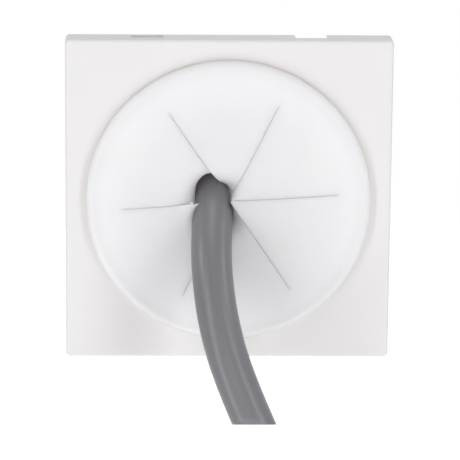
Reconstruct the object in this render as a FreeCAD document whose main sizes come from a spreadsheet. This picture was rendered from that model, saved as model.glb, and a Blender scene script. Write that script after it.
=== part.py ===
import FreeCAD, Part
import math
import os

import Sketcher

# Grommet wall plate for a 45 mm module opening: a shallow moulded tray, a soft membrane that grips
# the edge of its round opening and is slit into six petals, and the cable that pushes them in.
# Millimetres. The front faces -Y, +Z is up, and the origin is the centre of the mounting plane,
# which the back rim of the tray lies in.

doc = FreeCAD.newDocument("grommet_wall_plate")

# Driving dimensions
SIZES = {
    # cover plate
    "plate_side": 45.0,
    "skirt_depth": 4.0,
    "skirt_wall": 1.4,
    "face_wall": 1.8,
    "corner_radius": 0.6,
    "edge_round": 0.45,
    "opening_margin": 4.7,
    # catches that the mounting frame's hooks snap into
    "catch_pitch": 22.5,
    "catch_width": 4.4,
    "catch_length": 1.5,
    "catch_depth": 0.8,
    "catch_lip": 0.7,
    # ribs across the inside corners of the tray
    "rib_width": 1.0,
    "rib_drop": 0.4,
    "rib_gap": 1.6,
    # membrane
    "flange_overlap": 1.95,
    "flange_proud": 1.2,
    "flange_round": 1.1,
    "neck_clearance": 0.05,
    "neck_wall": 1.8,
    "lip_overlap": 1.0,
    "lip_thickness": 1.0,
    "lip_chamfer": 0.5,
    "web_thickness": 2.0,
    "web_rim": 2.8,
    "slit_gap": 0.1,
    "slit_turn": 4.1,
    "slit_shift": 0.2,
    "tip_blunt": 0.5,
    "petal_sections": 12,
    # cable
    "cable_dia": 5.6,
    "cable_cut_slope": 17.6,
}
# Sizes that follow from others
FORMULAS = {
    "opening_dia": "=plate_side - 2 * opening_margin",
    "slit_radius": "=opening_dia / 2 - web_rim",
    "rib_start": "=opening_dia / 2 + lip_overlap + rib_gap",
}

sheet = doc.addObject("Spreadsheet::Sheet", "sizes")
for row, (alias, value) in enumerate([*SIZES.items(), *FORMULAS.items()], start=1):
    sheet.set("A%d" % row, alias)
    sheet.set("B%d" % row, str(value))
    sheet.setAlias("B%d" % row, alias)
doc.recompute()


def size(alias):
    return float(sheet.get(alias))


def new_body(name):
    body = doc.addObject("PartDesign::Body", name)
    body.Label = name
    return body


def origin_part(body, role):
    return [item for item in body.Origin.OriginFeatures if item.Role == role][0]


def new_sketch(body, name, role, offset=None):
    """A sketch on one of the body's own planes, moved along its normal by an expression."""
    sketch = body.newObject("Sketcher::SketchObject", name)
    sketch.AttachmentSupport = [(origin_part(body, role), "")]
    sketch.MapMode = "FlatFace"
    if offset:
        sketch.setExpression(".AttachmentOffset.Base.z", offset)
    return sketch


def add_outline(sketch, corners):
    """A closed outline of straight lines. Each corner is a pair of expressions, across and up."""
    doc.recompute()
    places = [[evaluate(sketch, text) for text in corner] for corner in corners]
    first = sketch.GeometryCount
    count = len(corners)
    for index in range(count):
        start = FreeCAD.Vector(*places[index], 0)
        end = FreeCAD.Vector(*places[(index + 1) % count], 0)
        sketch.addGeometry(Part.LineSegment(start, end))
    for index in range(count):
        nxt = first + (index + 1) % count
        sketch.addConstraint(Sketcher.Constraint("Coincident", first + index, 2, nxt, 1))
    for index, corner in enumerate(corners):
        for kind, text, place in zip(("DistanceX", "DistanceY"), corner, places[index]):
            line = first + index
            number = sketch.addConstraint(Sketcher.Constraint(kind, -1, 1, line, 1, place))
            sketch.setExpression("Constraints[%d]" % number, text)


def evaluate(item, text):
    value = item.evalExpression(text)
    return float(getattr(value, "Value", value))


def rectangle(left, right, low, high):
    return [(left, low), (right, low), (right, high), (left, high)]


def pad(body, sketch, name, length, reverse=False):
    feature = body.newObject("PartDesign::Pad", name)
    feature.Profile = sketch
    feature.Reversed = reverse
    feature.setExpression("Length", length)
    sketch.Visibility = False
    doc.recompute()
    return feature


def pocket(body, sketch, name, length, reverse=False):
    """Cuts a pocket and makes sure that it took material away."""
    before = body.Shape.Volume
    feature = body.newObject("PartDesign::Pocket", name)
    feature.Profile = sketch
    feature.Reversed = reverse
    feature.setExpression("Length", length)
    doc.recompute()
    if not body.Shape.Volume < before - 1e-6:
        raise RuntimeError("%s cuts nothing" % name)
    return feature


def turned_copies(body, feature, name, role, copies):
    pattern = body.newObject("PartDesign::PolarPattern", name)
    pattern.Originals = [feature]
    pattern.Axis = (origin_part(body, role), [""])
    pattern.Angle = 360
    pattern.Occurrences = copies
    body.Tip = pattern
    doc.recompute()
    return pattern


def edges_where(shape, test):
    return ["Edge%d" % number for number, edge in enumerate(shape.Edges, start=1) if test(edge)]


def dress(body, kind, name, base, test, radius):
    """A fillet or chamfer on the edges of the base feature that pass the test."""
    feature = body.newObject("PartDesign::" + kind, name)
    feature.Base = (base, edges_where(base.Shape, test))
    feature.setExpression("Radius" if kind == "Fillet" else "Size", radius)
    doc.recompute()
    return feature


# Places that several pieces share
FACE = -size("skirt_depth")
FRONT = FACE - size("flange_proud")
NEAR = 1e-4


# Cover plate: a square tray, open at the back
def make_cover_plate():
    body = new_body("cover_plate")
    half = "sizes.plate_side / 2"
    block_sketch = new_sketch(body, "plate_outline", "XZ_Plane")
    add_outline(block_sketch, rectangle("-" + half, half, "-" + half, half))
    block = pad(body, block_sketch, "plate_block", "sizes.skirt_depth")
    dress(body, "Fillet", "plate_corners", block, runs_along_y, "sizes.corner_radius")

    inner = "(sizes.plate_side / 2 - sizes.skirt_wall)"
    cavity_sketch = new_sketch(body, "cavity_outline", "XZ_Plane")
    add_outline(cavity_sketch, rectangle("-" + inner, inner, "-" + inner, inner))
    pocket(body, cavity_sketch, "cavity", "sizes.skirt_depth - sizes.face_wall", reverse=True)

    opening_sketch = new_sketch(body, "opening_circle", "XZ_Plane")
    circle = Part.Circle(FreeCAD.Vector(0, 0, 0), FreeCAD.Vector(0, 0, 1), size("opening_dia") / 2)
    opening_sketch.addGeometry(circle)
    opening_sketch.addConstraint(Sketcher.Constraint("Coincident", 0, 3, -1, 1))
    number = opening_sketch.addConstraint(Sketcher.Constraint("Diameter", 0, size("opening_dia")))
    opening_sketch.setExpression("Constraints[%d]" % number, "sizes.opening_dia")
    opening = pocket(body, opening_sketch, "opening", "sizes.skirt_depth + 1", reverse=True)

    dress(body, "Fillet", "front_edge_round", opening, on_front_outline, "sizes.edge_round")
    make_catches(body)
    make_corner_ribs(body)
    return body


def runs_along_y(edge):
    start, end = (vertex.Point for vertex in edge.Vertexes)
    return abs(start.x - end.x) < NEAR and abs(start.z - end.z) < NEAR


def on_front_outline(edge):
    box = edge.BoundBox
    outside = max(abs(edge.CenterOfMass.x), abs(edge.CenterOfMass.z)) > size("opening_dia") / 2
    return abs(box.YMin - FACE) < NEAR and abs(box.YMax - FACE) < NEAR and outside


def make_catches(body):
    """Two catches in the top of the skirt, one of them open at the back, and the same turned half
    a turn in the bottom, so that the frame holds the plate either way up."""
    lip = "-sizes.catch_lip"
    deep_end = "-(sizes.catch_lip + sizes.catch_length)"
    sketch = new_sketch(body, "catch_outlines", "XY_Plane", "sizes.plate_side / 2")
    closed_left = "-(sizes.catch_pitch + sizes.catch_width) / 2"
    closed_right = "-(sizes.catch_pitch - sizes.catch_width) / 2"
    open_left = "(sizes.catch_pitch - sizes.catch_width) / 2"
    open_right = "(sizes.catch_pitch + sizes.catch_width) / 2"
    add_outline(sketch, rectangle(closed_left, closed_right, deep_end, lip))
    add_outline(sketch, rectangle(open_left, open_right, deep_end, "sizes.catch_lip"))
    catches = pocket(body, sketch, "catches", "sizes.catch_depth")
    turned_copies(body, catches, "catches_below", "Y_Axis", 2)


def make_corner_ribs(body):
    """A rib along the diagonal of each inside corner, from the tray's floor to near its rim."""
    sketch = new_sketch(body, "rib_outline", "XZ_Plane", "sizes.rib_drop")
    reach = "(sizes.plate_side / 2 - sizes.skirt_wall / 2) / cos(45)"
    near_low = "(sizes.rib_start - sizes.rib_width / 2) * cos(45)"
    near_high = "(sizes.rib_start + sizes.rib_width / 2) * cos(45)"
    far_low = "(%s - sizes.rib_width / 2) * cos(45)" % reach
    far_high = "(%s + sizes.rib_width / 2) * cos(45)" % reach
    add_outline(sketch, [
        (near_low, near_high), (near_high, near_low), (far_high, far_low), (far_low, far_high),
    ])
    rib =pad(body, sketch, "corner_rib", "sizes.skirt_depth - sizes.rib_drop - sizes.face_wall / 2")
    turned_copies(body, rib, "corner_ribs", "Y_Axis", 4)


# Membrane: a soft ring with a groove for the plate's edge, and a web that six slits cut into petals
def make_membrane_ring():
    body = new_body("membrane_ring")
    front = "-(sizes.skirt_depth + sizes.flange_proud)"
    face = "-sizes.skirt_depth"
    inner_face = "-(sizes.skirt_depth - sizes.face_wall)"
    lip_back = "-(sizes.skirt_depth - sizes.face_wall - sizes.lip_thickness)"
    web_back = "-(sizes.skirt_depth + sizes.flange_proud - sizes.web_thickness)"
    neck = "sizes.opening_dia / 2 - sizes.neck_clearance"
    flange = "sizes.opening_dia / 2 + sizes.flange_overlap"
    lip = "sizes.opening_dia / 2 + sizes.lip_overlap"
    inside = "sizes.opening_dia / 2 - sizes.neck_wall"
    sketch = new_sketch(body, "ring_section", "XY_Plane")
    add_outline(sketch, [
        ("0", front), (flange, front), (flange, face), (neck, face), (neck, inner_face),
        (lip, inner_face), (lip, lip_back), (inside, lip_back), (inside, web_back), ("0", web_back),
    ])
    disc = body.newObject("PartDesign::Revolution", "ring_disc")
    disc.Profile = sketch
    disc.ReferenceAxis = (origin_part(body, "Y_Axis"), [""])
    disc.Angle = 360
    doc.recompute()
    flange_radius = size("opening_dia") / 2 + size("flange_overlap")
    lip_radius = size("opening_dia") / 2 + size("lip_overlap")
    lip_place = FACE + size("face_wall") + size("lip_thickness")
    flange_edge = circle_at(flange_radius, FRONT)
    rounded = dress(body, "Fillet", "flange_edge", disc, flange_edge, "sizes.flange_round")
    lip_edge = circle_at(lip_radius, lip_place)
    dress(body, "Chamfer", "lip_edge", rounded, lip_edge, "sizes.lip_chamfer")

    hole_sketch = new_sketch(body, "petal_field", "XZ_Plane")
    corners = []
    for index in range(6):
        angle = "(sizes.slit_turn + %d)" % (60 * index)
        across = "sizes.slit_shift + sizes.slit_radius * cos%s" % angle
        up = "sizes.slit_radius * sin%s" % angle
        corners.append((across, up))
    add_outline(hole_sketch, corners)
    pocket(body, hole_sketch, "petal_hole", "sizes.skirt_depth + sizes.flange_proud + 1", reverse=True)
    return body


def circle_at(radius, place):
    def test(edge):
        box = edge.BoundBox
        circle = isinstance(edge.Curve, Part.Circle) and abs(edge.Curve.Radius - radius) < NEAR
        return circle and abs(box.YMin - place) < 0.01 and abs(box.YMax - place) < 0.01
    return test


class Petal:
    """A petal is the triangle between two slits. It is flat at its hinge, one side of the hexagon
    that the slits' ends make, and bends in towards its tip until it stands at the tip slope.

    direction   where the petal points from, counter-clockwise from +X seen from the front
    tip_slope   how steeply the tip goes in, from the face of the web
    bend_start  where the bend starts, from a circle of the cable's size round the centre
    bend_end    where the tip slope is reached, from the same circle
    hold_right  how far each edge keeps to the plane of its slit, pressed by its neighbour,
    hold_left   as a share of what the bend draws it back
    """

    def __init__(self, name, order, tip_slope, bend_start, bend_end, hold_right, hold_left):
        self.name = name
        self.direction = math.radians(size("slit_turn") + 30 + 60 * order)
        self.tip_slope = math.radians(tip_slope)
        self.hinge = size("slit_radius") * math.cos(math.radians(30))
        reach = self.hinge - size("cable_dia") / 2
        self.bend_start = max(reach - bend_start, 0)
        self.bend_end = reach - bend_end
        self.hold_right = hold_right
        self.hold_left = hold_left

    def slope(self, along):
        share = min(max((along - self.bend_start) / (self.bend_end - self.bend_start), 0.0), 1.0)
        return self.tip_slope * share * share * (3 - 2 * share)

    def section(self, along):
        """The four corners across the petal at a distance along it from the hinge."""
        spread = math.tan(math.radians(30))
        steps = 40
        advance = 0.0
        depth = 0.0
        for step in range(steps):
            slope = self.slope(along * (step + 0.5) / steps)
            advance += math.cos(slope) * along / steps
            depth += math.sin(slope) * along / steps
        slope = self.slope(along)
        flat = self.hinge - along
        drawn = along - advance
        half = flat * spread - size("slit_gap") / 2 / math.cos(math.radians(30))
        right = half + self.hold_right * drawn * spread
        left = half + self.hold_left * drawn * spread
        out = FreeCAD.Vector(math.cos(self.direction), 0, math.sin(self.direction))
        across = FreeCAD.Vector(-math.sin(self.direction), 0, math.cos(self.direction))
        inward = FreeCAD.Vector(0, 1, 0)
        centre = FreeCAD.Vector(size("slit_shift"), FRONT, 0) + out * (self.hinge - advance) + inward * depth
        thick = (out * math.sin(slope) + inward * math.cos(slope)) * size("web_thickness")
        return [centre - across * right, centre + across * left,
                centre + across * left + thick, centre - across * right + thick]

    def solid(self):
        reach = self.hinge - size("tip_blunt")
        count = size("petal_sections")
        stations = [reach * number / (count - 1) for number in range(int(count))]
        wires = [Part.makePolygon(corners + corners[:1]) for corners in map(self.section, stations)]
        return Part.makeLoft(wires, True, False)


# Seen from the front, counter-clockwise from the right. The cable comes through left of the centre,
# so the petals on the left bend in most and those on the right stay nearly flat.
PETALS = [
    Petal("petal_right_upper", 0, 10, 3.8, -2.8, 0.9, 0.9),
    Petal("petal_top", 1, 50, 5.6, -2.8, 1.2, -0.1),
    Petal("petal_left_upper", 2, 90, 6.2, 0.6, 0.2, 0.0),
    Petal("petal_left_lower", 3, 80, 5.8, 2.8, 0.9, -0.3),
    Petal("petal_bottom", 4, 60, 6.6, 1.6, 0.5, 0.9),
    Petal("petal_right_lower", 5, 12, 5.2, -1.8, 0.9, 0.9),
]


def make_membrane():
    ring = make_membrane_ring()
    pieces = [ring]
    for petal in PETALS:
        feature = doc.addObject("Part::Feature", petal.name)
        feature.Shape = petal.solid()
        pieces.append(feature)
    membrane = doc.addObject("Part::MultiFuse", "membrane")
    membrane.Shapes = pieces
    membrane.Refine = True
    membrane.Label = "membrane"
    doc.recompute()
    return membrane


# Cable: round cord through the petals, leaning out and down. The points of its route are chosen by
# hand; runs between them are straight and tangent arcs join the runs.
CABLE_ROUTE = [
    (-2.1, 9.6, 5.4),
    (-2.1, 3.2, 2.4),
    (-2.1, -3.2, -1.5),
    (-2.5, -9.1, -7.4),
    (-1.6, -13.6, -14.4),
    (0.6, -16.3, -22.0),
    (4.4, -17.2, -30.4),
]
CUT_PLACE = (3.5, -16.8, -28.4)


def rounded_path(points):
    """Straight runs joined by tangent arcs, each as large as its two runs allow."""
    points = [FreeCAD.Vector(*point) for point in points]
    edges = []
    start = points[0]
    for before, corner, after in zip(points, points[1:], points[2:]):
        run_in = corner - before
        run_out = after - corner
        turn = run_in.getAngle(run_out)
        trim = 0.45 * min(run_in.Length, run_out.Length)
        radius = trim / math.tan(turn / 2)
        print("cable turn %.1f degrees, radius %.1f mm" % (math.degrees(turn), radius))
        unit_in = run_in.normalize()
        unit_out = run_out.normalize()
        arc_start = corner - unit_in * trim
        arc_end = corner + unit_out * trim
        to_centre = (unit_out - unit_in).normalize()
        centre = corner + to_centre * (radius / math.cos(turn / 2))
        middle = centre - to_centre * radius
        edges.append(Part.LineSegment(start, arc_start).toShape())
        edges.append(Part.Arc(arc_start, middle, arc_end).toShape())
        start = arc_end
    edges.append(Part.LineSegment(start, points[-1]).toShape())
    return Part.Wire(edges)


def make_cable():
    path = rounded_path(CABLE_ROUTE)
    start = FreeCAD.Vector(*CABLE_ROUTE[0])
    direction = FreeCAD.Vector(*CABLE_ROUTE[1]) - start
    radius = size("cable_dia") / 2
    end = Part.Face(Part.Wire(Part.makeCircle(radius, start, direction)))
    tube = path.makePipe(end)
    section = math.pi * radius ** 2
    print("cable length %.2f mm, volume %.4f of section times length"
          % (path.Length, tube.Volume / (section * path.Length)))
    slope = math.radians(size("cable_cut_slope"))
    kept_side = FreeCAD.Vector(0, math.sin(slope), math.cos(slope))
    kept_space = Part.makeCylinder(80, 80, FreeCAD.Vector(*CUT_PLACE), kept_side)
    cable = doc.addObject("Part::Feature", "cable")
    cable.Shape = tube.common(kept_space)
    cable.Label = "cable"
    return cable


def write(nodes):
    doc.recompute()
    for item in doc.Objects:
        if any(word in item.State for word in ("Invalid", "Error")):
            raise RuntimeError("%s failed: %s" % (item.Name, item.State))
    os.makedirs("parts", exist_ok=True)
    for node in nodes:
        shape = node.Shape
        if shape.isNull() or not shape.isValid() or len(shape.Solids) != 1:
            raise RuntimeError("%s is not one valid solid" % node.Label)
        shape.exportStep("parts/%s.step" % node.Label)
        print("%s: volume %.1f mm3, box %s" % (node.Label, shape.Volume, shape.BoundBox))


write([make_cover_plate(), make_membrane(), make_cable()])
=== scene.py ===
"""A square moulded cover plate with a soft slit membrane, and a grey cable that hangs out of it.

The frame's cover plate gets its material here. The membrane and the cable are made again in the
same places, with what the solids leave out: rounded slits, the cable's sheath, cores and strands.
Lengths in the code are millimetres unless a name says metres; they are turned to metres where a
mesh is made.
"""

import math

import bmesh
import bpy
import numpy as np
from mathutils import Matrix, Vector


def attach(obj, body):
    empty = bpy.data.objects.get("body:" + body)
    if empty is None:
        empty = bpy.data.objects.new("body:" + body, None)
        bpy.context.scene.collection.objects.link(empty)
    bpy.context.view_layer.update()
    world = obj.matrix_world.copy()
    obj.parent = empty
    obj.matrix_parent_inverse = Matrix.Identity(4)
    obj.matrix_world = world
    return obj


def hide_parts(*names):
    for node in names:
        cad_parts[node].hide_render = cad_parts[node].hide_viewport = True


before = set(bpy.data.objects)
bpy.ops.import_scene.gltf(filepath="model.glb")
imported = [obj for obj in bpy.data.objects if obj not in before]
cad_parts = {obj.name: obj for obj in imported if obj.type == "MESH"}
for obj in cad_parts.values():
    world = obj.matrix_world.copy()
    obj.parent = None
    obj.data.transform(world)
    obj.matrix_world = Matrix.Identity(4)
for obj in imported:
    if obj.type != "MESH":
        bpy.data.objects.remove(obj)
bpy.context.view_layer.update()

MM = 0.001

# Places on the plate, as in the part's source
FACE = -4.0
FRONT = FACE - 1.2

# The cable's route, with the same points as the part's
CABLE_ROUTE = [
    (-2.1, 9.6, 5.4),
    (-2.1, 3.2, 2.4),
    (-2.1, -3.2, -1.5),
    (-2.5, -9.1, -7.4),
    (-1.6, -13.6, -14.4),
    (0.6, -16.3, -22.0),
    (4.4, -17.2, -30.4),
]
CABLE_DIAMETER = 5.6
CUT_PLACE = Vector((3.5, -16.8, -28.4))
CUT_SLOPE = math.radians(17.6)
CUT_KEPT_SIDE = Vector((0, math.sin(CUT_SLOPE), math.cos(CUT_SLOPE)))


def linear(code):
    """An sRGB hex colour as linear red, green, blue and alpha."""
    values = [int(code[start:start + 2], 16) / 255 for start in (1, 3, 5)]
    return [v / 12.92 if v <= 0.04045 else ((v + 0.055) / 1.055) ** 2.4 for v in values] + [1.0]


def add_node(tree, kind, settings=(), **links):
    """Adds a node. Settings are attributes, or input sockets by name or number; links are outputs
    or plain values for its inputs, named by the socket with _ for a space."""
    node = tree.nodes.new(kind)
    for key, value in dict(settings).items():
        if isinstance(key, int) or key in node.inputs:
            source = node.inputs[key]
            if isinstance(value, bpy.types.NodeSocket):
                tree.links.new(value, source)
            else:
                source.default_value = value
        else:
            setattr(node, key, value)
    for name, value in links.items():
        socket = node.inputs[name.replace("_", " ")]
        if isinstance(value, bpy.types.NodeSocket):
            tree.links.new(value, socket)
        else:
            socket.default_value = value
    return node


def new_material(name):
    """A material with its output, and object coordinates to work from."""
    material = bpy.data.materials.new(name)
    material.use_nodes = True
    tree = material.node_tree
    tree.nodes.clear()
    output = add_node(tree, "ShaderNodeOutputMaterial")
    place = add_node(tree, "ShaderNodeTexCoord").outputs["Object"]
    return material, tree, output, place


def ramp(tree, factor, stops):
    """A colour ramp through (position, hex colour) stops."""
    node = add_node(tree, "ShaderNodeValToRGB", Fac=factor)
    elements = node.color_ramp.elements
    while len(elements) < len(stops):
        elements.new(0.5)
    for element, (position, code) in zip(elements, stops):
        element.position = position
        element.color = linear(code)
    return node.outputs["Color"]


def mesh_object(name, points, faces, material):
    """A piece at the origin from points in millimetres and faces."""
    mesh = bpy.data.meshes.new(name)
    mesh.from_pydata([tuple(v * MM for v in point) for point in points], [], faces)
    mesh.materials.append(material)
    piece = bpy.data.objects.new(name, mesh)
    bpy.context.scene.collection.objects.link(piece)
    return piece


def clean_mesh(piece, sharp_degrees, merge=0.002):
    """Merges doubled points, turns the faces outwards and shades smooth up to the sharp angle."""
    mesh = piece.data
    work = bmesh.new()
    work.from_mesh(mesh)
    bmesh.ops.remove_doubles(work, verts=work.verts, dist=merge * MM)
    bmesh.ops.recalc_face_normals(work, faces=work.faces)
    work.to_mesh(mesh)
    work.free()
    mesh.shade_smooth()
    mesh.set_sharp_from_angle(angle=math.radians(sharp_degrees))


# Materials

# Radius that the membrane's painted shade zones are shares of: painted shade, darker towards the centre
# and on the flange's round, and a thin warm painted shadow line where the flange meets the plate. How
# far behind its front the painted warm shade of its bent tips starts and is full
PAINTED_SHADE_RADIUS = 20.0
PAINTED_WARM_SHADE_FROM = 0.8
PAINTED_WARM_SHADE_TO = 6.5


def moulded_abs():
    """White ABS, injection moulded with a fine spark-eroded grain: even, satin, a little cool."""
    material, tree, output, place = new_material("moulded_white_abs")
    grain = add_node(tree, "ShaderNodeTexNoise", {"Scale": 3800.0, "Detail": 2.0}, Vector=place)
    cloud = add_node(tree, "ShaderNodeTexNoise", {"Scale": 90.0, "Detail": 3.0}, Vector=place)
    colour = ramp(tree, cloud.outputs["Fac"], [(0.3, "#e6e4e5"), (0.7, "#e9e7e8")])
    gloss = add_node(tree, "ShaderNodeMapRange",
                     {"From Min": 0.3, "From Max": 0.7, "To Min": 0.36, "To Max": 0.46},
                     Value=grain.outputs["Fac"])
    bump = add_node(tree, "ShaderNodeBump", {"Strength": 0.12, "Distance": 0.00004},
                    Height=grain.outputs["Fac"])
    shader = add_node(tree, "ShaderNodeBsdfPrincipled", {"IOR": 1.53}, Base_Color=colour,
                      Roughness=gloss.outputs["Result"], Normal=bump.outputs["Normal"])
    tree.links.new(shader.outputs["BSDF"], output.inputs["Surface"])
    return material


def moulded_tpe():
    """Soft white elastomer, moulded: a matt skin that light goes into. Painted shade makes it darker
    towards the centre and on the flange's round, warmer in the bent tips deep behind its front, and
    draws a thin warm painted shadow line where the flange meets the plate."""
    material, tree, output, place = new_material("moulded_white_elastomer")
    apart = add_node(tree, "ShaderNodeSeparateXYZ", Vector=place)
    flat = add_node(tree, "ShaderNodeCombineXYZ", X=apart.outputs["X"], Z=apart.outputs["Z"])
    radius = add_node(tree, "ShaderNodeVectorMath", {"operation": "LENGTH", 0: flat.outputs["Vector"]})
    share = add_node(tree, "ShaderNodeMath", {"operation": "DIVIDE", 1: PAINTED_SHADE_RADIUS * MM,
                                              0: radius.outputs["Value"]})
    # Painted shade by radius: darker towards the centre and on the flange's round, and a thin warm
    # painted shadow line at the flange's outer edge
    painted_shade_zones = ramp(tree, share.outputs["Value"], [
        (0.0, "#e6e6e8"), (0.38, "#e8e8ea"), (0.62, "#ebebed"), (0.86, "#f0f0f2"), (0.93, "#ececee"),
        (0.972, "#ebebed"), (0.984, "#e6e1de"), (0.9875, "#d6cac1")])
    # Painted warm shade: the membrane is tinted warmer and darker the deeper it lies behind its front,
    # where the bent tips sit in shade
    depth = add_node(tree, "ShaderNodeMapRange",
                     {"From Min": (FRONT + PAINTED_WARM_SHADE_FROM) * MM, "From Max": (FRONT + PAINTED_WARM_SHADE_TO) * MM},
                     Value=apart.outputs["Y"])
    inside = ramp(tree, depth.outputs["Result"], [(0.0, "#ffffff"), (1.0, "#f6ece4")])
    painted_shade_mix = add_node(tree, "ShaderNodeMix", {"data_type": "RGBA", "blend_type": "MULTIPLY",
                                              0: 1.0, 6: painted_shade_zones, 7: inside})
    grain = add_node(tree, "ShaderNodeTexNoise", {"Scale": 2600.0, "Detail": 3.0}, Vector=place)
    cloud = add_node(tree, "ShaderNodeTexNoise", {"Scale": 120.0, "Detail": 2.0}, Vector=place)
    tint = ramp(tree, cloud.outputs["Fac"], [(0.3, "#fdfcfc"), (0.7, "#ffffff")])
    colour = add_node(tree, "ShaderNodeMix", {"data_type": "RGBA", "blend_type": "MULTIPLY",
                                              0: 1.0, 6: painted_shade_mix.outputs[2], 7: tint})
    bump = add_node(tree, "ShaderNodeBump", {"Strength": 0.10, "Distance": 0.00005},
                    Height=grain.outputs["Fac"])
    shader = add_node(tree, "ShaderNodeBsdfPrincipled",
                      {"IOR": 1.48, "Roughness": 0.52, "Subsurface Weight": 0.60,
                       "Subsurface Radius": (1.0, 0.88, 0.80), "Subsurface Scale": 0.0014},
                      Base_Color=colour.outputs[2], Normal=bump.outputs["Normal"])
    tree.links.new(shader.outputs["BSDF"], output.inputs["Surface"])
    return material


def extruded_pvc():
    """Grey PVC sheath, extruded: satin, with faint lines that the die draws along it."""
    material, tree, output, place = new_material("extruded_grey_pvc")
    along = add_node(tree, "ShaderNodeUVMap", {"uv_map": "along_cable"}).outputs["UV"]
    lines = add_node(tree, "ShaderNodeMapping", {"Scale": (2.4, 0.05, 1.0)}, Vector=along)
    streak = add_node(tree, "ShaderNodeTexNoise", {"Scale": 1.0, "Detail": 3.0},
                      Vector=lines.outputs["Vector"])
    grain = add_node(tree, "ShaderNodeTexNoise", {"Scale": 2800.0, "Detail": 2.0}, Vector=place)
    colour = ramp(tree, streak.outputs["Fac"], [(0.3, "#6f6e73"), (0.7, "#747378")])
    bump_lines = add_node(tree, "ShaderNodeBump", {"Strength": 0.12, "Distance": 0.00003},
                          Height=streak.outputs["Fac"])
    bump = add_node(tree, "ShaderNodeBump", {"Strength": 0.10, "Distance": 0.00003},
                    Height=grain.outputs["Fac"], Normal=bump_lines.outputs["Normal"])
    shader = add_node(tree, "ShaderNodeBsdfPrincipled", {"IOR": 1.53, "Roughness": 0.35},
                      Base_Color=colour, Normal=bump.outputs["Normal"])
    tree.links.new(shader.outputs["BSDF"], output.inputs["Surface"])
    return material


def core_insulation(name, code, band=None):
    """PVC core insulation, smooth and as glossy as the sheath."""
    material, tree, output, place = new_material(name)
    grain = add_node(tree, "ShaderNodeTexNoise", {"Scale": 1500.0, "Detail": 2.0}, Vector=place)
    if band:
        along = add_node(tree, "ShaderNodeUVMap", {"uv_map": "along_cable"}).outputs["UV"]
        stripe = add_node(tree, "ShaderNodeTexWave", {"Scale": 0.21, "bands_direction": "X"},
                          Vector=along)
        colour = ramp(tree, stripe.outputs["Fac"], [(0.45, code), (0.55, band)])
    else:
        colour = linear(code)
    bump = add_node(tree, "ShaderNodeBump", {"Strength": 0.08, "Distance": 0.00003},
                    Height=grain.outputs["Fac"])
    shader = add_node(tree, "ShaderNodeBsdfPrincipled", {"IOR": 1.53, "Roughness": 0.35},
                      Base_Color=colour, Normal=bump.outputs["Normal"])
    tree.links.new(shader.outputs["BSDF"], output.inputs["Surface"])
    return material


def drawn_copper():
    """Bare drawn copper wire: bright where it was just cut."""
    material, tree, output, place = new_material("drawn_copper")
    grain = add_node(tree, "ShaderNodeTexNoise", {"Scale": 5000.0, "Detail": 2.0}, Vector=place)
    colour = ramp(tree, grain.outputs["Fac"], [(0.3, "#c47a52"), (0.7, "#d58a60")])
    shader = add_node(tree, "ShaderNodeBsdfPrincipled", {"Metallic": 1.0, "Roughness": 0.32},
                      Base_Color=colour)
    tree.links.new(shader.outputs["BSDF"], output.inputs["Surface"])
    return material


# Membrane: six petals in the places of the part's, with bends that vary across each one

SLIT_RADIUS = 15.0
SLIT_TURN = 4.1
SLIT_SHIFT = 0.2
WEB = 2.0
HINGE = SLIT_RADIUS * math.cos(math.radians(30))
SPREAD = math.tan(math.radians(30))
TIP_BLUNT = 0.12
# Width of a slit, where it is pressed shut and where it is free, with the radius up to which it
# is shut and the length over which it opens
CLOSED_GAP = 0.006
SLIT_GAP = 0.02
SHUT_RADIUS = 5.0
OPENING_LENGTH = 4.0
# Round along the slits' edges, and the length in which slit and round end at the hinge
SLIT_ROUND = 0.11
SLIT_END = 0.8

# name, order round the centre, slopes at the tip (right edge, middle, left edge), where the bend
# starts from the cable's circle (the same three), its length, hold on the right and left
PETALS = [
    ("right_upper", 0, (12, 16, 32), (5.6, 5.6, 5.6), 8.4, 1.0, 1.0),
    ("top", 1, (32, 52, 62), (5.6, 5.6, 5.6), 8.4, 1.0, 0.7),
    ("left_upper", 2, (78, 84, 66), (4.8, 6.0, 5.4), 6.0, 1.05, 0.9),
    ("left_lower", 3, (62, 72, 72), (2.6, 4.5, 4.0), 3.1, 1.45, 0.4),
    ("bottom", 4, (66, 34, 4), (5.2, 5.0, 4.4), 5.0, 0.5, 1.2),
    ("right_lower", 5, (4, 10, 12), (5.6, 5.6, 5.6), 8.4, 1.0, 1.0),
]

# Ring section from the web's edge round to its back: radius and depth
RING_FRONT = [(16.0, FRONT), (16.8, FRONT), (17.6, FRONT), (18.3, FRONT)]
FLANGE_RADIUS = 19.75
FLANGE_ROUND = 1.1
RING_BACK = [
    (FLANGE_RADIUS, FACE), (17.75, FACE), (17.75, -2.2), (18.8, -2.2), (18.8, -1.7), (18.3, -1.2),
    (16.0, -1.2), (16.0, FRONT + WEB),
]


def across_petal(sides, values):
    """A smooth curve through three values: at the right edge, the middle and the left edge."""
    right, middle, left = values
    return middle + (left - right) / 2 * sides + ((left + right) / 2 - middle) * sides ** 2


def bent(along, sides, tip_slopes, starts, bend_length, steps=200):
    """Slope, advance and depth at a length along a petal from its hinge, for each place across it
    from -1 to 1."""
    begin = HINGE - CABLE_DIAMETER / 2 - across_petal(sides, starts)
    steepest = np.radians(across_petal(sides, tip_slopes))
    step = along / steps
    middles = (np.arange(steps)[:, None] + 0.5) * step

    def slope(length):
        share = np.clip((length - begin) / bend_length, 0, 1)
        return steepest * share * share * (3 - 2 * share)

    slopes = slope(middles)
    return slope(along), np.cos(slopes).sum(axis=0) * step, np.sin(slopes).sum(axis=0) * step


def column_places(half):
    """Places across a petal of that half width, close together at its rounded edges."""
    edge = np.array([0.0, 0.012, 0.035, 0.075, SLIT_ROUND]) * min(1.0, half / 0.5)
    inner = np.linspace(-1, 1, 21)[1:-1] * (half - edge[-1])
    return np.concatenate([-half + edge, inner, (half - edge)[::-1]]), edge


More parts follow.
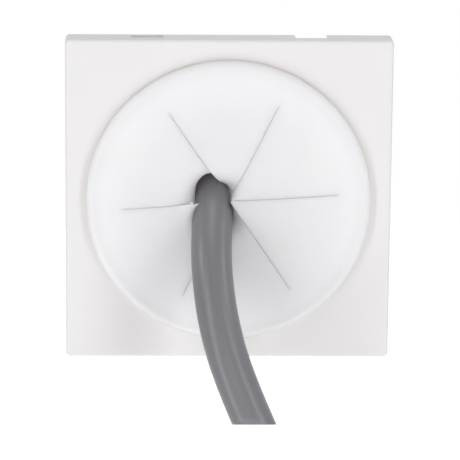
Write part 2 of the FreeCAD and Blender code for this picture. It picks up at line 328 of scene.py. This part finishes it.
def petal_grid(order, tip_slopes, starts, bend_length, hold_right, hold_left):
    """Front and back points of a petal, rows from its tip to its hinge."""
    direction = math.radians(SLIT_TURN + 30 + 60 * order)
    out = np.array([math.cos(direction), 0, math.sin(direction)])
    across = np.array([-math.sin(direction), 0, math.cos(direction)])
    inward = np.array([0, 1, 0])
    centre = np.array([SLIT_SHIFT, FRONT, 0])
    tip = [TIP_BLUNT, TIP_BLUNT + 0.02, TIP_BLUNT + 0.06, TIP_BLUNT + 0.14]
    flats = np.concatenate([tip, np.linspace(TIP_BLUNT + 0.3, HINGE - 0.5, 42),
                            [HINGE - 0.3, HINGE - 0.12, HINGE]])
    tip_width = dict(zip(tip, (0.45, 0.68, 0.88, 0.97)))
    front_rows = []
    back_rows = []
    for flat in flats:
        along = HINGE - flat
        closing = min(1.0, along / SLIT_END)
        opened = min(max((flat - SHUT_RADIUS) / OPENING_LENGTH, 0), 1)
        opening = CLOSED_GAP + (SLIT_GAP - CLOSED_GAP) * opened
        half = flat * SPREAD - opening * closing / 2 / math.cos(math.radians(30))
        half *= tip_width.get(flat, 1.0)
        places, edge = column_places(half)
        rounding = edge[-1]
        inside = np.clip(half - np.abs(places), 0, rounding)
        drop = rounding - np.sqrt(np.maximum(rounding ** 2 - (rounding - inside) ** 2, 0))
        sides = places / half
        slope, advance, depth = (values[:, None] for values in
                                 bent(along, sides, tip_slopes, starts, bend_length))
        drawn = (along - advance[:, 0]) * SPREAD
        held = np.where(places > 0, hold_left, hold_right)
        side = (places + sides * held * drawn)[:, None]
        normal = out * np.sin(slope) + inward * np.cos(slope)
        base = centre + out * (HINGE - advance) + inward * depth
        front = base + across * side + inward * (drop * closing)[:, None]
        back = base + across * side + normal * WEB
        front_rows.append(front)
        back_rows.append(back)
    return front_rows, back_rows


def ring_rows(order):
    """Rows of the ring in one sector, from the petal's hinge round its section to the back."""
    direction = SLIT_TURN + 30 + 60 * order
    places, _ = column_places(HINGE * SPREAD)
    angles = np.radians(direction) + np.arctan2(places, HINGE)
    hinge_radius = np.hypot(places, HINGE)
    unit = np.stack([np.cos(angles), np.zeros_like(angles), np.sin(angles)], axis=1)

    def row(radius, depth, share):
        return unit * np.reshape(radius, (-1, 1)) + np.array([SLIT_SHIFT * (1 - share), depth, 0])

    rows = []
    for share in (0.3, 0.65):
        rows.append(row(hinge_radius + (RING_FRONT[0][0] - hinge_radius) * share, FRONT, share))
    for radius, depth in RING_FRONT:
        rows.append(row(np.full_like(angles, radius), depth, 1))
    for turn in np.radians(np.linspace(0, 90, 13)):
        radius = FLANGE_RADIUS - FLANGE_ROUND * (1 - math.sin(turn))
        depth = FRONT + FLANGE_ROUND * (1 - math.cos(turn))
        rows.append(row(np.full_like(angles, radius), depth, 1))
    for radius, depth in RING_BACK:
        rows.append(row(np.full_like(angles, radius), depth, 1))
    for share in (0.65, 0.3):
        rows.append(row(hinge_radius + (16.0 - hinge_radius) * share, FRONT + WEB, share))
    return rows


def make_membrane(material):
    points = []
    faces = []
    for _, order, *shape in PETALS:
        front_rows, back_rows = petal_grid(order, *shape)
        rows = front_rows + ring_rows(order) + back_rows[::-1]
        first = len(points)
        width = len(rows[0])
        for row in rows:
            points.extend(row.tolist())

        def number(row, column):
            return first + row * width + column

        for row in range(len(rows) - 1):
            for column in range(width - 1):
                faces.append((number(row, column), number(row, column + 1),
                              number(row + 1, column + 1), number(row + 1, column)))
        last = len(rows) - 1
        for column in range(width - 1):
            faces.append((number(0, column), number(last, column),
                          number(last, column + 1), number(0, column + 1)))
        for row in range(len(front_rows) - 1):
            for column in (0, width - 1):
                faces.append((number(row, column), number(row + 1, column),
                              number(last - row - 1, column), number(last - row, column)))
    piece = mesh_object("membrane_petals", points, faces, material)
    clean_mesh(piece, 40, merge=0.004)
    return piece


# Cable: sheath, cores and strands along one smooth line

# Radii of the sheath's bore, a core, its bore and a strand, how far the cores lie from the middle,
# and the length in which they wind once round it
SHEATH_BORE = 1.95
CORE_RADIUS = 0.86
CORE_BORE = 0.52
STRAND_RADIUS = 0.1
CORE_OFFSET = 1.0
CORE_PITCH = 60.0


def route_line(points):
    """The smooth line through the route's control points, in millimetres."""
    curve = bpy.data.curves.new("route", "CURVE")
    curve.dimensions = "3D"
    curve.resolution_u = 24
    spline = curve.splines.new("NURBS")
    spline.points.add(len(points) - 1)
    for target, point in zip(spline.points, points):
        target.co = [v * MM for v in point] + [1.0]
    spline.order_u = 3
    spline.use_endpoint_u = True
    holder = bpy.data.objects.new("route", curve)
    bpy.context.scene.collection.objects.link(holder)
    bpy.context.view_layer.update()
    mesh = bpy.data.meshes.new_from_object(holder.evaluated_get(bpy.context.evaluated_depsgraph_get()))
    line = [vertex.co / MM for vertex in mesh.vertices]
    bpy.data.meshes.remove(mesh)
    bpy.data.objects.remove(holder)
    bpy.data.curves.remove(curve)
    return line


def cut_line(line, place, kept_side):
    """The line up to where it meets a plane."""
    kept = []
    for point, after in zip(line, line[1:] + line[-1:]):
        here = (point - place).dot(kept_side)
        there = (after - place).dot(kept_side)
        kept.append(point)
        if there < 0 <= here:
            kept.append(point.lerp(after, here / (here - there)))
            break
    return kept


def frames_along(line):
    """Point, tangent and two cross directions at each point of a line, turned as little as can be."""
    tangents = []
    for index in range(len(line)):
        before = line[max(index - 1, 0)]
        after = line[min(index + 1, len(line) - 1)]
        tangents.append((after - before).normalized())
    side = Vector((1, 0, 0))
    frames = []
    for point, tangent in zip(line, tangents):
        side = (side - tangent * side.dot(tangent)).normalized()
        frames.append((point, tangent, side, tangent.cross(side)))
    return frames


def helix(frames, radius, start_degrees, pitch):
    """A line that winds round another at a radius, once per pitch."""
    line = []
    travelled = 0.0
    before = frames[0][0]
    for point, _, side, up in frames:
        travelled += (point - before).length
        before = point
        turn = math.radians(start_degrees) + 2 * math.pi * travelled / pitch
        line.append(point + side * (radius * math.cos(turn)) + up * (radius * math.sin(turn)))
    return line


def hollow_tube(name, line, outer, inner, segments, edge_round, material, cut):
    """A closed tube with a bore, small rounds at its ends, and a UV map in millimetres. The cut is
    a plane, as a place and a normal, that the last ring is slid along the tube into."""
    frames = frames_along(line)
    place, normal = cut
    slant = frames[-1][1].angle(-normal)
    clear = outer * math.tan(slant) + 0.1
    body = [f for f in frames[:-1] if (frames[-1][0] - f[0]).length > clear]
    frames = body + [frames[-1]]
    travelled = [0.0]
    for (a, *_), (b, *_) in zip(frames, frames[1:]):
        travelled.append(travelled[-1] + (b - a).length)

    def ring(index, radius, back=0.0):
        point, tangent, side, up = frames[index]
        points = []
        for segment in range(segments):
            turn = 2 * math.pi * segment / segments
            spot = point + side * (radius * math.cos(turn)) + up * (radius * math.sin(turn))
            if index == last:
                spot += tangent * ((place - spot).dot(normal) / tangent.dot(normal))
                spot -= tangent * back
            else:
                spot += tangent * back
            points.append(spot)
        return points

    last = len(frames) - 1
    rings = []
    lengths = []
    for index in range(len(frames)):
        if index == 0:
            rings += [ring(0, outer - edge_round), ring(0, outer, edge_round)]
            lengths += [0.0, edge_round]
        elif index == last:
            rings += [ring(last, outer, edge_round), ring(last, outer - edge_round)]
            lengths += [travelled[last] - edge_round, travelled[last]]
        else:
            rings.append(ring(index, outer))
            lengths.append(travelled[index])
    for index in reversed(range(len(frames))):
        rings.append(ring(index, inner))
        lengths.append(travelled[index])
    points = [point for points in rings for point in points]
    faces = []
    corners = []
    for number in range(len(rings)):
        after = (number + 1) % len(rings)
        for segment in range(segments):
            nxt = (segment + 1) % segments
            faces.append((number * segments + segment, number * segments + nxt,
                          after * segments + nxt, after * segments + segment))
            round_here = 2 * math.pi * outer * segment / segments
            round_next = 2 * math.pi * outer * (segment + 1) / segments
            corners.append(((round_here, lengths[number]), (round_next, lengths[number]),
                            (round_next, lengths[after]), (round_here, lengths[after])))
    piece = mesh_object(name, points, faces, material)
    layer = piece.data.uv_layers.new(name="along_cable")
    for polygon, places in zip(piece.data.polygons, corners):
        for loop, spot in zip(polygon.loop_indices, places):
            layer.data[loop].uv = spot
    clean_mesh(piece, 50, merge=0.0005)
    return piece


def strand_tree(material):
    """Strands of one core: a centre strand and rings of strands round it, swept along the core."""
    tree = bpy.data.node_groups.new("twisted_strands", "GeometryNodeTree")
    tree.interface.new_socket("Core line", in_out="INPUT", socket_type="NodeSocketGeometry")
    inputs = (("Strand radius", STRAND_RADIUS * MM), ("Strands in first ring", 6),
              ("Strands in second ring", 12))
    for name, value in inputs:
        kind = "NodeSocketInt" if isinstance(value, int) else "NodeSocketFloat"
        tree.interface.new_socket(name, in_out="INPUT", socket_type=kind).default_value = value
    tree.interface.new_socket("Strands", in_out="OUTPUT", socket_type="NodeSocketGeometry")
    given = add_node(tree, "NodeGroupInput")
    strand = add_node(tree, "GeometryNodeCurvePrimitiveCircle", {"Resolution": 10},
                      Radius=given.outputs["Strand radius"])
    centre = add_node(tree, "GeometryNodePoints", {"Count": 1})
    spots = [centre.outputs[0]]
    for count, factor in (("Strands in first ring", 2.02), ("Strands in second ring", 3.95)):
        reach = add_node(tree, "ShaderNodeMath", {"operation": "MULTIPLY", 1: factor,
                                                  0: given.outputs["Strand radius"]})
        circle = add_node(tree, "GeometryNodeMeshCircle", Vertices=given.outputs[count],
                          Radius=reach.outputs["Value"])
        spots.append(circle.outputs["Mesh"])
    where = add_node(tree, "GeometryNodeJoinGeometry")
    for spot in spots:
        tree.links.new(spot, where.inputs[0])
    copies = add_node(tree, "GeometryNodeInstanceOnPoints", Points=where.outputs[0],
                      Instance=strand.outputs["Curve"])
    section = add_node(tree, "GeometryNodeRealizeInstances", Geometry=copies.outputs[0])
    swept = add_node(tree, "GeometryNodeCurveToMesh", {"Fill Caps": True},
                     Curve=given.outputs["Core line"], Profile_Curve=section.outputs[0])
    finished = add_node(tree, "GeometryNodeSetMaterial", {"Material": material},
                        Geometry=swept.outputs[0])
    output = add_node(tree, "NodeGroupOutput")
    tree.links.new(finished.outputs[0], output.inputs[0])
    return tree


def make_strands(name, line, tree, cut):
    """A bundle of strands along a line, made by the node tree and cut off at the plane."""
    curve = bpy.data.curves.new(name, "CURVE")
    curve.dimensions = "3D"
    spline = curve.splines.new("POLY")
    spline.points.add(len(line) - 1)
    for index, (target, point) in enumerate(zip(spline.points, line)):
        target.co = [v * MM for v in point] + [1.0]
        target.tilt = index * 0.06
    holder = bpy.data.objects.new(name + "_line", curve)
    bpy.context.scene.collection.objects.link(holder)
    modifier = holder.modifiers.new("strands", "NODES")
    modifier.node_group = tree
    inputs = {item.name: item.identifier for item in tree.interface.items_tree if item.in_out == "INPUT"}
    modifier[inputs["Strand radius"]] = STRAND_RADIUS * MM
    modifier[inputs["Strands in first ring"]] = 6
    modifier[inputs["Strands in second ring"]] = 12
    bpy.context.view_layer.update()
    evaluated = holder.evaluated_get(bpy.context.evaluated_depsgraph_get())
    mesh = bpy.data.meshes.new_from_object(evaluated)
    bpy.data.objects.remove(holder)
    bpy.data.curves.remove(curve)
    work = bmesh.new()
    work.from_mesh(mesh)
    place, normal = cut
    everything = work.verts[:] + work.edges[:] + work.faces[:]
    bmesh.ops.bisect_plane(work, geom=everything, plane_co=place * MM, plane_no=-normal,
                           clear_outer=True)
    bmesh.ops.holes_fill(work, edges=work.edges)
    bmesh.ops.recalc_face_normals(work, faces=work.faces)
    work.to_mesh(mesh)
    work.free()
    mesh.shade_smooth()
    mesh.set_sharp_from_angle(angle=math.radians(50))
    piece = bpy.data.objects.new(name, mesh)
    bpy.context.scene.collection.objects.link(piece)
    return piece


def make_cable(sheath_material, core_materials, copper):
    """The sheath with three cores in it, both ends cut."""
    whole = route_line(CABLE_ROUTE)
    line = cut_line(whole, CUT_PLACE, CUT_KEPT_SIDE)
    cut = (CUT_PLACE, CUT_KEPT_SIDE)
    radius = CABLE_DIAMETER / 2
    sheath = hollow_tube("cable_sheath", line, radius, SHEATH_BORE, 64, 0.05, sheath_material, cut)
    frames = frames_along(whole)
    tree = strand_tree(copper)
    cores = []
    for index, material in enumerate(core_materials):
        name = "core_%d" % (index + 1)
        core_line = helix(frames, CORE_OFFSET, 30 + 120 * index, CORE_PITCH)
        core_cut = cut_line(core_line, CUT_PLACE, CUT_KEPT_SIDE)
        cores.append(hollow_tube(name, core_cut, CORE_RADIUS, CORE_BORE, 24, 0.02, material, cut))
        cores.append(make_strands(name + "_strands", core_line, tree, cut))
    return sheath, cores, line


plate_finish = moulded_abs()
membrane_finish = moulded_tpe()
sheath_finish = extruded_pvc()
core_finishes = [
    core_insulation("brown_core_pvc", "#5a3a28"),
    core_insulation("blue_core_pvc", "#3f6fae"),
    core_insulation("striped_core_pvc", "#4e8a3f", "#d8c832"),
]
copper_finish = drawn_copper()

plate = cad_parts["cover_plate"]
plate.data.materials.clear()
plate.data.materials.append(plate_finish)

membrane = make_membrane(membrane_finish)
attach(membrane, "root")
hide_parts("membrane")

cable, cable_cores, cable_line = make_cable(sheath_finish, core_finishes, copper_finish)
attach(cable, "root")
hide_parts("cable")
for core in cable_cores:
    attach(core, "root")


# Floor, light and camera

# name, azimuth and elevation in degrees, distance, width and height in metres, watts: two tall
# softboxes cast the cable's two shadows, and the rest fill in and give it its highlights
LIGHTS = [
    ("left_softbox", -52, -4, 1.2, 0.22, 2.4, 8.3),
    ("right_softbox", 52, -4, 1.2, 0.26, 2.4, 7.8),
    ("front_fill", -1.4, 6, 1.2, 0.6, 0.6, 0.9),
    ("low_fill", 0, -42, 1.2, 1.4, 1.0, 5.3),
    ("left_strip", -84, 33, 1.2, 0.3, 0.12, 1.5),
    ("right_strip", 84, 33, 1.2, 0.3, 0.12, 1.2),
    ("top_panel", 0, 80, 1.0, 0.5, 0.4, 1.4),
    ("back_fill", 172, -28, 1.2, 1.2, 0.6, 4.0),
]


def camera_gloss_or_glass(tree):
    """One where the camera, a reflection or glass looks, and nought for light that falls on things."""
    path = add_node(tree, "ShaderNodeLightPath")
    first = add_node(tree, "ShaderNodeMath", {"operation": "MAXIMUM", 0: path.outputs["Is Camera Ray"],
                                              1: path.outputs["Is Glossy Ray"]})
    both = add_node(tree, "ShaderNodeMath", {"operation": "MAXIMUM", 0: first.outputs["Value"],
                                             1: path.outputs["Is Transmission Ray"]})
    return both.outputs["Value"]


def make_floor():
    material, tree, output, _ = new_material("pale_floor")
    matt = add_node(tree, "ShaderNodeBsdfDiffuse", {"Color": linear("#e8e8e8")})
    shown = add_node(tree, "ShaderNodeMath", {"operation": "MULTIPLY", 1: 0.86,
                                              0: camera_gloss_or_glass(tree)})
    glow = add_node(tree, "ShaderNodeEmission", {"Color": (1, 1, 1, 1)}, Strength=shown.outputs["Value"])
    both = add_node(tree, "ShaderNodeAddShader", {0: matt.outputs["BSDF"], 1: glow.outputs["Emission"]})
    tree.links.new(both.outputs["Shader"], output.inputs["Surface"])
    side = 6000
    level = -1500
    corners = [(-side, -side, level), (side, -side, level), (side, side, level), (-side, side, level)]
    floor = mesh_object("floor", corners, [(0, 1, 2, 3)], material)


def make_world(ambient):
    world = bpy.data.worlds.new("studio")
    world.use_nodes = True
    tree = world.node_tree
    tree.nodes.clear()
    output = add_node(tree, "ShaderNodeOutputWorld")
    dim = add_node(tree, "ShaderNodeBackground", {"Color": (1, 1, 1, 1), "Strength": ambient})
    white = add_node(tree, "ShaderNodeBackground", {"Color": (1, 1, 1, 1), "Strength": 1.0})
    both = add_node(tree, "ShaderNodeMixShader", {0: camera_gloss_or_glass(tree), 1: dim.outputs[0],
                                                  2: white.outputs[0]})
    tree.links.new(both.outputs[0], output.inputs["Surface"])
    bpy.context.scene.world = world


def add_light(name, azimuth, elevation, distance, width, height, power):
    """An area light that looks at the plate. Azimuth 0 is in front of it, and plus is to the right."""
    light = bpy.data.lights.new(name, "AREA")
    light.shape = "RECTANGLE"
    light.size = width
    light.size_y = height
    light.energy = power
    lamp = bpy.data.objects.new(name, light)
    bpy.context.scene.collection.objects.link(lamp)
    turn = math.radians(azimuth)
    rise = math.radians(elevation)
    back = Vector((math.sin(turn) * math.cos(rise), -math.cos(turn) * math.cos(rise), math.sin(rise)))
    lamp.location = back * distance
    lamp.rotation_euler = back.to_track_quat("Z", "Y").to_euler()
    lamp.visible_camera = False


def add_camera():
    """The camera of the photograph, from the plate's corners and rounds in it."""
    azimuth = math.radians(-1.41249)
    elevation = math.radians(14.0570)
    roll = math.radians(0.49706)
    target = Vector((0.379, 1.0, -5.468)) * MM
    distance = 0.439829
    back = Vector((math.sin(azimuth) * math.cos(elevation), -math.cos(azimuth) * math.cos(elevation),
                   math.sin(elevation)))
    right = Vector((0, 0, 1)).cross(back).normalized()
    up = back.cross(right)
    across = right * math.cos(roll) + up * math.sin(roll)
    upward = up * math.cos(roll) - right * math.sin(roll)
    data = bpy.data.cameras.new("camera")
    data.lens = 245.5
    data.sensor_width = 36
    data.clip_start = 0.01
    camera = bpy.data.objects.new("camera", data)
    bpy.context.scene.collection.objects.link(camera)
    camera.matrix_world = Matrix.LocRotScale(
        target + back * distance, Matrix((across, upward, back)).transposed(), None)
    bpy.context.scene.camera = camera


make_floor()
make_world(0.29)
for light in LIGHTS:
    add_light(*light)
add_camera()

bpy.context.scene.view_settings.view_transform = "Standard"
